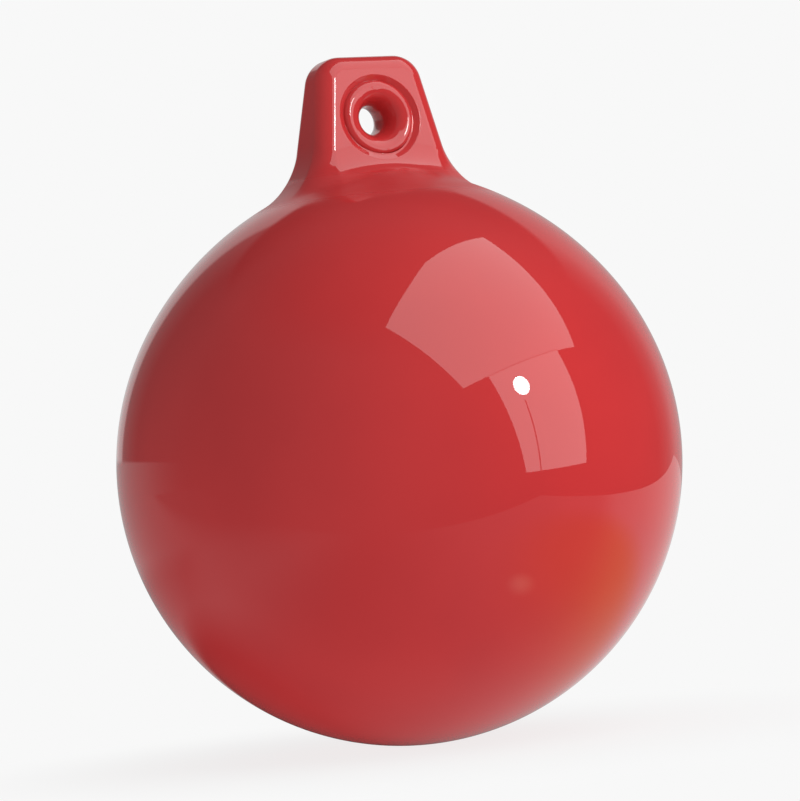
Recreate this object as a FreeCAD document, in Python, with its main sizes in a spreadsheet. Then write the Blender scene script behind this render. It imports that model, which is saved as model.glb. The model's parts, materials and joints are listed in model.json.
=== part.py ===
import FreeCAD, Part
import math
import os

import Sketcher
from FreeCAD import Rotation, Vector

# A ball float for nets: a hollow round ball with a moulded rope lug on top.
# Millimetres, +Z up along the lug, +Y to the back. The origin is on the ball's axis at the water's surface.
# Every body is drawn about the ball's centre and then lifted by ball_radius - draught.

SIZES = [
    ("ball_radius", 100.0, "outside of the ball"),
    ("shell_wall", 2.5, "thickness of the ball's skin"),
    ("draught", 40.0, "depth of the ball below the water when it floats"),
    ("shoulder_swell", 12.0, "profile radius of the shoulder under the lug, beyond the ball's"),
    ("crown_start", 56.0, "degrees from the lug's axis at which the shoulder leaves the ball"),
    ("foot_radius", 42.0, "outside of the lug's round foot, let into the shell"),
    ("lug_rise", 44.3, "top of the lug above the ball's outline"),
    ("eye_share", 0.4872, "height of the rope eye's axis as a share of lug_rise"),
    ("lug_width", 46.2, "width of the lug at the eye"),
    ("lug_thickness", 22.4, "thickness of the lug at the eye"),
    ("side_taper", 9.9, "degrees by which each side leans in"),
    ("face_taper", 7.9, "degrees by which each face leans in"),
    ("corner_round", 10.0, "radius of the two top corners"),
    ("edge_round", 6.0, "radius along the edges of both faces"),
    ("root_round", 12.0, "radius between the lug and its foot"),
    ("throat_radius", 6.15, "rope hole"),
    ("funnel_depth", 5.2, "from the ring's crest in to the hole's straight part"),
    ("ring_share", 0.2638, "radius of the rounded ring round each mouth as a share of lug_rise"),
    ("ring_round", 1.9, "radius of the ring's rounded crest"),
    ("groove_width", 1.65, "moulded groove round each ring"),
    ("groove_depth", 2.6, "floor of that groove below the ring's crest"),
    ("valve_angle", 62.0, "degrees from the lug's axis to the valve, at the back"),
    ("valve_radius", 7.0, "valve body where it passes through the shell"),
    ("valve_depth", 11.0, "length of the valve body inside the ball's outline"),
    ("flange_width", 2.6, "valve flange beyond the valve body"),
    ("flange_height", 1.0, "valve flange above the ball"),
    ("plug_radius", 3.4, "screw plug's shank"),
    ("plug_length", 8.0, "screw plug's shank below its head"),
    ("head_radius", 5.0, "screw plug's head"),
    ("head_height", 1.6, "screw plug's head"),
    ("slot_width", 1.3, "slot across the head"),
    ("slot_depth", 0.9, "slot across the head"),
]

doc = FreeCAD.newDocument("net_float")
sheet = doc.addObject("Spreadsheet::Sheet", "sizes")
for row, (alias, value, note) in enumerate(SIZES, start=1):
    sheet.set(f"A{row}", alias)
    sheet.set(f"B{row}", str(value))
    sheet.set(f"C{row}", note)
    sheet.setAlias(f"B{row}", alias)
doc.recompute()

# Derived places, in the sheet's sizes, above the ball's centre or from the lug's middle plane.
EYE = "(sizes.ball_radius + sizes.eye_share * sizes.lug_rise)"
LUG_TOP = "(sizes.ball_radius + sizes.lug_rise)"
CROWN = "(sizes.ball_radius + sizes.shoulder_swell)"
SHOULDER_OUT = "sizes.shoulder_swell * sin(sizes.crown_start * 1 deg)"
SHOULDER_DOWN = "sizes.shoulder_swell * cos(sizes.crown_start * 1 deg)"
FOOT_FLOOR = (
    f"sqrt(({CROWN} - sizes.shell_wall)^2 - (sizes.foot_radius + {SHOULDER_OUT})^2)"
    f" - {SHOULDER_DOWN}"
)
RING_REACH = "(sizes.lug_thickness / 2)"
RING_RADIUS = "(sizes.ring_share * sizes.lug_rise)"
RING_OUTSIDE = f"({RING_RADIUS} + sizes.ring_round)"
GROOVE_REACH = f"({RING_REACH} - sizes.groove_depth)"
THROAT_REACH = f"({RING_REACH} - sizes.funnel_depth)"
GROOVE_OUTSIDE = f"({RING_OUTSIDE} + sizes.groove_width)"
FLANGE_RADIUS = "(sizes.valve_radius + sizes.flange_width)"
HEAD_SEAT = "(sizes.ball_radius + sizes.flange_height - sizes.head_height)"

START, END, CENTRE = 1, 2, 3
ORIGIN = (-1, 1)
VERTICAL_AXIS = -2
TOUCHING = 1e-4


def worth(expression):
    """The value of an expression of the sheet's sizes."""
    value = sheet.evalExpression(expression)
    return getattr(value, "Value", value)


def bind(feature, **expressions):
    for name, expression in expressions.items():
        feature.setExpression(name.replace("__", "."), expression)
    return feature


class Profile:
    """A sketch on one of its body's origin planes, with dimensions bound to the sheet's sizes."""

    def __init__(self, body, role, name):
        self.sketch = body.newObject("Sketcher::SketchObject", name)
        plane = next(f for f in body.Origin.OriginFeatures if f.Role == role)
        self.sketch.AttachmentSupport = [(plane, "")]
        self.sketch.MapMode = "FlatFace"

    def line(self, start, end, construction=False):
        return self.sketch.addGeometry(Part.LineSegment(Vector(*start, 0), Vector(*end, 0)), construction)

    def outline(self, *points):
        """A closed polygon; returns its sides in order."""
        sides = [self.line(*pair) for pair in zip(points, points[1:] + points[:1])]
        for side, following in zip(sides, sides[1:] + sides[:1]):
            self.join((side, END), (following, START))
        return sides

    def arc(self, centre, radius, start_angle, end_angle):
        circle = Part.Circle(Vector(*centre, 0), Vector(0, 0, 1), radius)
        return self.sketch.addGeometry(Part.ArcOfCircle(circle, start_angle, end_angle), False)

    def rule(self, kind, *where):
        self.sketch.addConstraint(Sketcher.Constraint(kind, *where))

    def rules(self, kind, *elements):
        for element in elements:
            self.rule(kind, element)

    def join(self, *ends):
        """Joins the (geometry, end) pairs two by two."""
        for first, second in zip(ends[::2], ends[1::2]):
            self.rule("Coincident", *first, *second)

    def size(self, expression, kind, *where):
        """A dimension; an angle's expression is in degrees."""
        angle = kind == "Angle"
        value = math.radians(worth(expression)) if angle else worth(expression)
        index = self.sketch.addConstraint(Sketcher.Constraint(kind, *where, value))
        self.sketch.setExpression(f"Constraints[{index}]", f"({expression}) * 1 deg" if angle else expression)


def new_body(name):
    body = doc.addObject("PartDesign::Body", name)
    body.Label = name
    return bind(body, Placement__Base__z="sizes.ball_radius - sizes.draught")


def add(body, kind, profile, **settings):
    """A PartDesign feature made from a profile."""
    feature = body.newObject(f"PartDesign::{kind}", f"{profile.sketch.Name}_{kind.lower()}")
    feature.Profile = profile.sketch
    for name, value in settings.items():
        setattr(feature, name, value)
    return feature


def revolve(body, kind, profile, axis="V_Axis"):
    return add(body, kind, profile, ReferenceAxis=(profile.sketch, [axis]), Angle=360)


def fillet(body, name, radius, chosen):
    """Rounds the edges of the body so far that a test picks by their place."""
    doc.recompute()
    base = body.Tip
    names = [f"Edge{number}" for number, edge in enumerate(base.Shape.Edges, start=1) if chosen(edge)]
    if not names:
        raise RuntimeError(f"{name}: no edge to round")
    feature = body.newObject("PartDesign::Fillet", name)
    feature.Base = (base, names)
    return bind(feature, Radius=radius)


def samples(edge):
    """Points along an edge, ends included."""
    return edge.discretize(5)


def crown_centre():
    return -worth(SHOULDER_OUT), -worth(SHOULDER_DOWN)


def crown_height(reach, inset=0.0):
    """Height above the ball's centre of the shoulder's surface, or of one inside it, at a distance out."""
    centre_out, centre_up = crown_centre()
    return math.sqrt((worth(CROWN) - inset) ** 2 - (reach - centre_out) ** 2) + centre_up


def crown_angle(reach, inset=0.0):
    """Angle of that point about the shoulder profile's centre."""
    centre_out, centre_up = crown_centre()
    return math.atan2(crown_height(reach, inset) - centre_up, reach - centre_out)


def make_ball_shell():
    body = new_body("ball_shell")
    profile = Profile(body, "XZ_Plane", "shell_profile")
    ball, wall = worth("sizes.ball_radius"), worth("sizes.shell_wall")
    crown, foot = worth(CROWN), worth("sizes.foot_radius")
    rise = math.radians(90 - worth("sizes.crown_start"))
    join_point = (ball * math.cos(rise), ball * math.sin(rise))

    outer_ball = profile.arc((0, 0), ball, -math.pi / 2, rise)
    inner_ball = profile.arc((0, 0), ball - wall, -math.pi / 2, rise)
    outer_crown = profile.arc(crown_centre(), crown, rise, crown_angle(foot))
    inner_crown = profile.arc(crown_centre(), crown - wall, rise, crown_angle(foot, wall))
    seat = profile.line((foot, crown_height(foot)), (foot, crown_height(foot, wall)))
    bottom = profile.line((0, -ball), (0, wall - ball))
    spoke = profile.line(crown_centre(), join_point, construction=True)

    profile.join((outer_ball, CENTRE), ORIGIN, (inner_ball, CENTRE), ORIGIN)
    profile.join((outer_crown, CENTRE), (spoke, START), (inner_crown, CENTRE), (spoke, START))
    profile.join((outer_ball, END), (outer_crown, START), (outer_ball, END), (spoke, END))
    profile.join((inner_ball, END), (inner_crown, START))
    profile.join((outer_crown, END), (seat, START), (seat, END), (inner_crown, END))
    profile.join((bottom, START), (outer_ball, START), (bottom, END), (inner_ball, START))
    profile.rule("PointOnObject", *ORIGIN, spoke)
    profile.rule("PointOnObject", inner_ball, END, spoke)
    profile.rule("PointOnObject", bottom, START, VERTICAL_AXIS)
    profile.rule("PointOnObject", bottom, END, VERTICAL_AXIS)
    profile.rule("Vertical", seat)
    profile.size("90 - sizes.crown_start", "Angle", spoke)
    profile.size("sizes.ball_radius", "Radius", outer_ball)
    profile.size("sizes.ball_radius - sizes.shell_wall", "Radius", inner_ball)
    profile.size(CROWN, "Radius", outer_crown)
    profile.size("sizes.foot_radius", "DistanceX", *ORIGIN, seat, START)
    revolve(body, "Revolution", profile)

    hole = body.newObject("PartDesign::SubtractiveCylinder", "valve_hole")
    hole.Placement = FreeCAD.Placement(Vector(), Rotation(Vector(1, 0, 0), -worth("sizes.valve_angle")))
    bind(hole, Radius="sizes.valve_radius", Height="2 * sizes.ball_radius")
    bind(hole, Placement__Rotation__Angle="-sizes.valve_angle * 1 deg")
    return body


def draw_lug_front(body):
    """The lug's outline from the front: a trapezoid that is as wide as named at the eye."""
    profile = Profile(body, "XZ_Plane", "lug_front")
    eye, top, floor = worth(EYE), worth(LUG_TOP), worth(FOOT_FLOOR)
    half, lean = worth("sizes.lug_width / 2"), math.tan(math.radians(worth("sizes.side_taper")))
    low, high = half + (eye - floor) * lean, half - (top - eye) * lean
    base, right, lid, left = profile.outline((-low, floor), (low, floor), (high, top), (-high, top))
    across = profile.line((-half, eye), (half, eye), construction=True)
    profile.rules("Horizontal", across)
    profile.rule("PointOnObject", across, START, left)
    profile.rule("PointOnObject", across, END, right)
    profile.rule("Symmetric", base, START, base, END, VERTICAL_AXIS)
    profile.rule("Symmetric", lid, START, lid, END, VERTICAL_AXIS)
    profile.size(FOOT_FLOOR, "DistanceY", *ORIGIN, base, END)
    profile.size(LUG_TOP, "DistanceY", *ORIGIN, lid, START)
    profile.size(EYE, "DistanceY", *ORIGIN, across, END)
    profile.size("sizes.lug_width", "DistanceX", across, START, across, END)
    profile.size("90 + sizes.side_taper", "Angle", right)
    return profile


def draw_face_wedges(body):
    """What is cut from the lug's front and back, so that both faces lean in."""
    profile = Profile(body, "YZ_Plane", "face_wedges")
    eye, top, floor = worth(EYE), worth(LUG_TOP), worth(FOOT_FLOOR)
    half, lean = worth("sizes.lug_thickness / 2"), math.tan(math.radians(worth("sizes.face_taper")))
    low, high, clear = half + (eye - floor) * lean, half - (top - eye) * lean, worth("sizes.lug_width")
    for side in (-1, 1):
        corners = ((side * clear, floor), (side * low, floor), (side * high, top), (side * clear, top))
        base, face, lid, outside = profile.outline(*corners)
        across = profile.line((0, eye), (side * half, eye), construction=True)
        profile.rules("Horizontal", base, lid, across)
        profile.rule("Vertical", outside)
        profile.rule("PointOnObject", across, START, VERTICAL_AXIS)
        profile.rule("PointOnObject", across, END, face)
        profile.size(FOOT_FLOOR, "DistanceY", *ORIGIN, base, START)
        profile.size(LUG_TOP, "DistanceY", *ORIGIN, lid, END)
        profile.size(EYE, "DistanceY", *ORIGIN, across, END)
        ends = [(across, START), (across, END)][::side]
        profile.size("sizes.lug_thickness / 2", "DistanceX", *ends[0], *ends[1])
        ends = [ORIGIN, (outside, START)][::side]
        profile.size("sizes.lug_width", "DistanceX", *ends[0], *ends[1])
        profile.size(f"90 + {side} * sizes.face_taper", "Angle", face)
    return profile


def draw_foot(body):
    """The round foot under the lug: flat below, flush with the shell's shoulder above."""
    profile = Profile(body, "XZ_Plane", "foot_profile")
    foot, floor, crown = worth("sizes.foot_radius"), worth(FOOT_FLOOR), worth(CROWN)
    surface = profile.arc(crown_centre(), crown, crown_angle(foot), crown_angle(0))
    edge = profile.line((foot, floor), (foot, crown_height(foot)))
    middle = profile.line((0, crown_height(0)), (0, floor))
    base = profile.line((0, floor), (foot, floor))
    profile.join((edge, END), (surface, START), (surface, END), (middle, START))
    profile.join((middle, END), (base, START), (base, END), (edge, START))
    profile.rules("Vertical", edge)
    profile.rules("Horizontal", base)
    profile.rule("PointOnObject", middle, START, VERTICAL_AXIS)
    profile.rule("PointOnObject", middle, END, VERTICAL_AXIS)
    profile.size(FOOT_FLOOR, "DistanceY", *ORIGIN, base, END)
    profile.size("sizes.foot_radius", "DistanceX", *ORIGIN, base, END)
    profile.size(CROWN, "Radius", surface)
    profile.size(SHOULDER_OUT, "DistanceX", surface, CENTRE, *ORIGIN)
    profile.size(SHOULDER_DOWN, "DistanceY", surface, CENTRE, *ORIGIN)
    return profile


def draw_eye_recess(body):
    """Both counterbores round the rope eye, as two rectangles to turn about the eye's axis."""
    profile = Profile(body, "YZ_Plane", "eye_recess")
    eye, floor = worth(EYE), worth(GROOVE_REACH)
    outside, clear = worth(GROOVE_OUTSIDE), worth("sizes.lug_width")
    axis = profile.line((-clear, eye), (clear, eye), construction=True)
    profile.rule("Symmetric", axis, START, axis, END, VERTICAL_AXIS)
    profile.size(EYE, "DistanceY", *ORIGIN, axis, END)
    profile.size("2 * sizes.lug_width", "DistanceX", axis, START, axis, END)
    for side, far_end in ((-1, START), (1, END)):
        corners = ((side * floor, eye), (side * clear, eye), (side * clear, eye + outside))
        base, end, lid, wall = profile.outline(*corners, (side * floor, eye + outside))
        profile.join((base, END), (axis, far_end))
        profile.rules("Horizontal", base, lid)
        profile.rules("Vertical", end, wall)
        ends = [ORIGIN, (base, START)][::side]
        profile.size(GROOVE_REACH, "DistanceX", *ends[0], *ends[1])
        profile.size(GROOVE_OUTSIDE, "DistanceY", end, START, end, END)
    return profile


def draw_bush_seat(body):
    """The hole through the lug that the eye bush fills."""
    profile = Profile(body, "XZ_Plane", "bush_seat")
    circle = Part.Circle(Vector(0, worth(EYE), 0), Vector(0, 0, 1), worth(RING_OUTSIDE))
    hole = profile.sketch.addGeometry(circle, False)
    profile.rule("PointOnObject", hole, CENTRE, VERTICAL_AXIS)
    profile.size(EYE, "DistanceY", *ORIGIN, hole, CENTRE)
    profile.size(RING_OUTSIDE, "Radius", hole)
    return profile


def on_lug_face(edge):
    """Whether an edge bounds the lug's front or back face and isn't at the bottom."""
    eye, floor, half = worth(EYE), worth(FOOT_FLOOR), worth("sizes.lug_thickness / 2")
    lean = math.tan(math.radians(worth("sizes.face_taper")))
    points = samples(edge)
    on_face = all(abs(abs(p.y) - half - (eye - p.z) * lean) < TOUCHING for p in points)
    return on_face and max(p.z for p in points) > floor + TOUCHING


def is_top_corner(edge):
    top = worth(LUG_TOP)
    points = samples(edge)
    return all(p.z > top - TOUCHING for p in points) and abs(points[0].x - points[-1].x) < TOUCHING


def on_lug_root(edge):
    """Whether an edge lies on the foot's top and inside its rim."""
    foot = worth("sizes.foot_radius")
    reaches = [(math.hypot(p.x, p.y), p.z) for p in samples(edge)]
    return all(out < foot - TOUCHING and abs(up - crown_height(out)) < TOUCHING for out, up in reaches)


def make_lug():
    body = new_body("lug")
    pad = add(body, "Pad", draw_lug_front(body), Midplane=True)
    bind(pad, Length="sizes.lug_width")
    add(body, "Pocket", draw_face_wedges(body), Midplane=True, Type="ThroughAll")
    fillet(body, "top_corners", "sizes.corner_round", is_top_corner)
    fillet(body, "face_edges", "sizes.edge_round", on_lug_face)
    revolve(body, "Revolution", draw_foot(body))
    fillet(body, "root", "sizes.root_round", on_lug_root)
    add(body, "Pocket", draw_bush_seat(body), Midplane=True, Type="ThroughAll")
    revolve(body, "Groove", draw_eye_recess(body), axis="Axis0")
    return body


def make_eye_bush():
    """The lining of the rope eye: a straight throat, a funnel at each end and a rounded ring round each."""
    body = new_body("eye_bush")
    profile = Profile(body, "YZ_Plane", "bush_profile")
    eye, throat = worth(EYE), worth("sizes.throat_radius")
    deep, ring = worth(THROAT_REACH), worth("sizes.ring_round")
    crest, shoulder = worth(RING_RADIUS), worth(f"{RING_REACH} - sizes.ring_round")
    axis = profile.line((-shoulder, eye), (shoulder, eye), construction=True)
    hole = profile.line((-deep, eye + throat), (deep, eye + throat))
    skin = profile.line((-shoulder, eye + crest + ring), (shoulder, eye + crest + ring))
    out, up = shoulder - deep, crest - throat
    touch = math.acos(ring / math.hypot(out, up)) - math.atan2(up, out) - math.pi
    touch_out, touch_up = shoulder + ring * math.cos(touch), crest + ring * math.sin(touch)
    right_ring = profile.arc((shoulder, eye + crest), ring, touch, math.pi / 2)
    left_ring = profile.arc((-shoulder, eye + crest), ring, math.pi / 2, math.pi - touch)
    right_funnel = profile.line((deep, eye + throat), (touch_out, eye + touch_up))
    left_funnel = profile.line((-deep, eye + throat), (-touch_out, eye + touch_up))
    for side, funnel, crest_arc, inner, outer in (
        (START, left_funnel, left_ring, END, START),
        (END, right_funnel, right_ring, START, END),
    ):
        profile.join((funnel, START), (hole, side), (crest_arc, outer), (skin, side))
        profile.rule("Tangent", funnel, END, crest_arc, inner)
        profile.rule("Vertical", crest_arc, CENTRE, crest_arc, outer)
        profile.rule("Vertical", axis, side, crest_arc, CENTRE)
        profile.size("sizes.ring_round", "Radius", crest_arc)
        profile.size(RING_RADIUS, "DistanceY", axis, side, crest_arc, CENTRE)
    profile.rule("Symmetric", hole, START, hole, END, VERTICAL_AXIS)
    profile.rule("Symmetric", axis, START, axis, END, VERTICAL_AXIS)
    profile.size(EYE, "DistanceY", *ORIGIN, axis, START)
    profile.size(f"2 * {THROAT_REACH}", "DistanceX", hole, START, hole, END)
    profile.size(f"2 * ({RING_REACH} - sizes.ring_round)", "DistanceX", axis, START, axis, END)
    profile.size("sizes.throat_radius", "DistanceY", axis, START, hole, START)
    revolve(body, "Revolution", profile, axis="Axis0")
    return body


def tilt_to_valve(body):
    """Turns a body drawn along +Z onto the valve's axis, which passes through the ball's centre."""
    tilt = Rotation(Vector(1, 0, 0), -worth("sizes.valve_angle"))
    body.Placement = FreeCAD.Placement(body.Placement.Base, tilt)
    return bind(body, Placement__Rotation__Angle="-sizes.valve_angle * 1 deg")


def make_valve_body():
    body = tilt_to_valve(new_body("valve_body"))
    profile = Profile(body, "XZ_Plane", "valve_profile")
    ball, rise, depth = worth("sizes.ball_radius"), worth("sizes.flange_height"), worth("sizes.valve_depth")
    shank, flange = worth("sizes.valve_radius"), worth(FLANGE_RADIUS)
    bore, head, seat = worth("sizes.plug_radius"), worth("sizes.head_radius"), worth(HEAD_SEAT)

    def up(radius, reach):
        return math.sqrt(radius ** 2 - reach ** 2)

    def angle(radius, reach):
        return math.acos(reach / radius)

    under = profile.arc((0, 0), ball, angle(ball, flange), angle(ball, shank))
    over = profile.arc((0, 0), ball + rise, angle(ball + rise, flange), angle(ball + rise, head))
    rim = profile.line((flange, up(ball, flange)), (flange, up(ball + rise, flange)))
    side = profile.line((shank, ball - depth), (shank, up(ball, shank)))
    base = profile.line((bore, ball - depth), (shank, ball - depth))
    hole = profile.line((bore, ball - depth), (bore, seat))
    ledge = profile.line((bore, seat), (head, seat))
    wall = profile.line((head, seat), (head, up(ball + rise, head)))
    profile.join((under, CENTRE), ORIGIN, (over, CENTRE), ORIGIN)
    profile.join((under, START), (rim, START), (rim, END), (over, START), (over, END), (wall, END))
    profile.join((wall, START), (ledge, END), (ledge, START), (hole, END), (hole, START), (base, START))
    profile.join((base, END), (side, START), (side, END), (under, END))
    profile.rules("Vertical", rim, side, hole, wall)
    profile.rules("Horizontal", base, ledge)
    profile.size("sizes.ball_radius", "Radius", under)
    profile.size("sizes.ball_radius + sizes.flange_height", "Radius", over)
    profile.size(FLANGE_RADIUS, "DistanceX", *ORIGIN, rim, START)
    profile.size("sizes.valve_radius", "DistanceX", *ORIGIN, side, START)
    profile.size("sizes.plug_radius", "DistanceX", *ORIGIN, hole, START)
    profile.size("sizes.head_radius", "DistanceX", *ORIGIN, wall, START)
    profile.size("sizes.ball_radius - sizes.valve_depth", "DistanceY", *ORIGIN, base, START)
    profile.size(HEAD_SEAT, "DistanceY", *ORIGIN, ledge, START)
    revolve(body, "Revolution", profile)
    return body


def make_valve_plug():
    body = tilt_to_valve(new_body("valve_plug"))
    shank = body.newObject("PartDesign::AdditiveCylinder", "plug_shank")
    bind(shank, Radius="sizes.plug_radius", Height="sizes.plug_length")
    bind(shank, Placement__Base__z=f"{HEAD_SEAT} - sizes.plug_length")
    head = body.newObject("PartDesign::AdditiveCylinder", "plug_head")
    bind(head, Radius="sizes.head_radius", Height="sizes.head_height")
    bind(head, Placement__Base__z=HEAD_SEAT)
    slot = body.newObject("PartDesign::SubtractiveBox", "plug_slot")
    bind(slot, Length="sizes.slot_width", Width="2 * sizes.head_radius", Height="sizes.slot_depth")
    bind(slot, Placement__Base__x="-sizes.slot_width / 2", Placement__Base__y="-sizes.head_radius")
    bind(slot, Placement__Base__z=f"{HEAD_SEAT} + sizes.head_height - sizes.slot_depth")
    return body


def check(bodies):
    """Stops if any object of the document failed or any sub-part isn't one sound solid."""
    for item in doc.Objects:
        if {"Invalid", "Error"} & set(item.State):
            raise RuntimeError(f"{item.Label}: {item.State}")
    for body in bodies:
        shape = body.Shape
        if shape.isNull() or not shape.isValid() or len(shape.Solids) != 1:
            raise RuntimeError(f"{body.Label}: no sound single solid")


bodies = [make_ball_shell(), make_lug(), make_eye_bush(), make_valve_body(), make_valve_plug()]
doc.recompute()
check(bodies)
os.makedirs("parts", exist_ok=True)
for body in bodies:
    body.Shape.exportStep(f"parts/{body.Label}.step")
    print(f"{body.Label}: {body.Shape.Volume / 1000:.2f} cm3, {body.Shape.BoundBox}")
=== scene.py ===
import json
import math

import bmesh
import bpy
import numpy as np
from mathutils import Matrix, Quaternion, Vector


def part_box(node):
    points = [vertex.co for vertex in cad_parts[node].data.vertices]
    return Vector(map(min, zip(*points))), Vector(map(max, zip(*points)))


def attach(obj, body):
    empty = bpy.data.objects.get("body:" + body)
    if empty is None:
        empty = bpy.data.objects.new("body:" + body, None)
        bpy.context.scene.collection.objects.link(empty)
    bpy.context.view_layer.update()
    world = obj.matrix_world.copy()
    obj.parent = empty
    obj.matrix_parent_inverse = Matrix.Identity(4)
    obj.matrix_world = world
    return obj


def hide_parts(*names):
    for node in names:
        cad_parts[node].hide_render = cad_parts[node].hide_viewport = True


# A glossy ball float for nets with a moulded rope lug, in metres, +Z up along the lug, +Y to the back.

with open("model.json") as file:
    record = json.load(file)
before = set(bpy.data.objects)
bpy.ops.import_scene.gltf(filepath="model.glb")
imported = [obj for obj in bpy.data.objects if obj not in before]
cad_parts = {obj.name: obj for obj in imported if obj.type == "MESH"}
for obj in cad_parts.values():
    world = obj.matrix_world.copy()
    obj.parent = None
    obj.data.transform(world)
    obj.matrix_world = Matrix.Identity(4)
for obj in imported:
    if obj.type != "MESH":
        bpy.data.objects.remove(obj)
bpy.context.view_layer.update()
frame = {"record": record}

MM = 0.001

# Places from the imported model.
ball_low, ball_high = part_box("ball_shell")
BALL_RADIUS = (ball_high.x - ball_low.x) / 2
BALL_CENTRE = Vector((0, 0, ball_low.z + BALL_RADIUS))
LUG_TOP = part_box("lug")[1].z - BALL_CENTRE.z
rope_eye = next(mount for mount in frame["record"]["mounts"] if mount["name"] == "rope_eye")
EYE_HEIGHT = rope_eye["pos_m"][2] - BALL_CENTRE.z
FLOOR = ball_low.z

# The shoulder under the lug: an arc that leaves the ball at this angle from the lug's axis.
SHOULDER_SWELL = 12 * MM
SHOULDER_START = math.radians(56)
SHOULDER_CENTRE = (-SHOULDER_SWELL * math.sin(SHOULDER_START), -SHOULDER_SWELL * math.cos(SHOULDER_START))
SHOULDER_RADIUS = BALL_RADIUS + SHOULDER_SWELL
SHELL_WALL = 2.5 * MM
SEAM_RADIUS = 47 * MM

# The lug, at the height of the eye.
LUG_HALF_WIDTH = 23.1 * MM
LUG_HALF_THICKNESS = 11.2 * MM
SIDE_LEAN = math.radians(9.9)
FACE_LEAN = math.radians(7.9)
CORNER_ROUND = 10 * MM
EDGE_ROUND = 6 * MM
SIDE_FLARE = 25 * MM
FACE_FLARE = 14.5 * MM
FOOT_DEPTH = 3 * MM

# The eye: a leaning ring on each face that rolls in to a waisted throat, and a shallow groove round the ring.
RING_LEAN = math.radians(6.2)
RING_MOUTH = 8.7 * MM
RING_INNER_CURVE = 2.6 * MM
RING_OUTSIDE = 13.5 * MM
RING_OUTER_CURVE = 2.1 * MM
WAIST_CORNER = 1.6 * MM
WAIST_CURVE = 10.2 * MM
GROOVE_START = 15.7 * MM
GROOVE_FLOOR_START = 13.45 * MM
GROOVE_END = 13.2 * MM
GROOVE_DEPTH = 1.4 * MM

# How finely the meshes are made.
SHARP_EDGE = math.radians(40)
TURN_STEPS = 256
TURN_WELD = 0.002 * MM
WELD = 0.001 * MM
ROUND_SEGMENTS = 16

root = bpy.context.scene.collection


def as_object(mesh, name, material):
    """Turns a bmesh into an object of one material."""
    data = bpy.data.meshes.new(name)
    mesh.to_mesh(data)
    mesh.free()
    data.materials.append(material)
    made = bpy.data.objects.new(name, data)
    root.objects.link(made)
    return made


def finish_piece(mesh, name, node, material):
    """Turns a bmesh into a piece that rides on the float in place of its CAD node."""
    bmesh.ops.recalc_face_normals(mesh, faces=mesh.faces)
    for face in mesh.faces:
        face.smooth = True
    for edge in mesh.edges:
        if len(edge.link_faces) == 2 and edge.calc_face_angle() > SHARP_EDGE:
            edge.smooth = False
    piece = as_object(mesh, name, material)
    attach(piece, "root")
    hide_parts(node)
    return piece


def picked(geometry, kind):
    """The vertices or the edges among what an operator gives back."""
    return [item for item in geometry if isinstance(item, kind)]


def turned(mesh, cent, axis):
    """A full turn of everything in the bmesh, welded shut."""
    bmesh.ops.spin(
        mesh, geom=mesh.verts[:] + mesh.edges[:], cent=cent, axis=axis, angle=math.tau, steps=TURN_STEPS,
        use_merge=True, use_duplicate=False,
    )
    bmesh.ops.remove_doubles(mesh, verts=mesh.verts, dist=TURN_WELD)


# Distances to the float's surface, for arrays of points about the ball's centre: negative inside.
PROBE = 0.02 * MM
SMALLEST_SLOPE = 1e-12
STEEPEST_LEAN = 0.99


def rounded_corner(first, second, lean, radius):
    """Distance to the edge where two planes meet, rounded. lean is the product of their normals."""
    a, b = first + radius, second + radius
    past_edge = (a > lean * b) & (b > lean * a)
    square = np.maximum(a * a + b * b - 2 * lean * a * b, 0) / (1 - lean * lean)
    return np.where(past_edge, np.sqrt(square), np.maximum(a, b)) - radius


def slope(distance, points):
    """Unit normals of a distance."""
    parts = [distance(points + step) - distance(points - step) for step in np.eye(3) * PROBE]
    normals = np.stack(parts, -1)
    return normals / np.maximum(np.linalg.norm(normals, axis=-1, keepdims=True), SMALLEST_SLOPE)


def shoulder(points):
    """Distance to the ball and the shoulder that swells from it under the lug."""
    out, up = np.hypot(points[..., 0], points[..., 1]), points[..., 2]
    on_ball = np.arctan2(out, up) > SHOULDER_START
    swollen = np.hypot(out - SHOULDER_CENTRE[0], up - SHOULDER_CENTRE[1]) - SHOULDER_RADIUS
    return np.where(on_ball, np.hypot(out, up) - BALL_RADIUS, swollen)


def lug_outline(points):
    """Distance to the lug's outline, seen along the eye: leaning sides and a rounded top."""
    across, up = np.abs(points[..., 0]), points[..., 2] - EYE_HEIGHT
    side = (across - LUG_HALF_WIDTH) * math.cos(SIDE_LEAN) + up * math.sin(SIDE_LEAN)
    return rounded_corner(side, points[..., 2] - LUG_TOP, math.sin(SIDE_LEAN), CORNER_ROUND)


def lug_block(points):
    """Distance to the lug by itself: its outline, two leaning faces and the rounded edge between them."""
    up = points[..., 2] - EYE_HEIGHT
    face = (np.abs(points[..., 1]) - LUG_HALF_THICKNESS) * math.cos(FACE_LEAN) + up * math.sin(FACE_LEAN)
    step = np.array([0, 0, PROBE])
    rise = (lug_outline(points + step) - lug_outline(points - step)) / (2 * PROBE)
    return rounded_corner(lug_outline(points), face, rise * math.sin(FACE_LEAN), EDGE_ROUND)


def float_skin(points):
    """The lug grown out of the shoulder, with a wide flare at its sides and a tighter one at its faces."""
    block_normal, shoulder_normal = slope(lug_block, points), slope(shoulder, points)
    flare = FACE_FLARE + (SIDE_FLARE - FACE_FLARE) * block_normal[..., 0] ** 2
    lean = np.clip((block_normal * shoulder_normal).sum(-1), -STEEPEST_LEAN, STEEPEST_LEAN)
    return -rounded_corner(-lug_block(points), -shoulder(points), lean, flare)


def settle(points):
    """Points moved onto the float's surface."""
    return points - float_skin(points)[..., None] * slope(float_skin, points)


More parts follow.
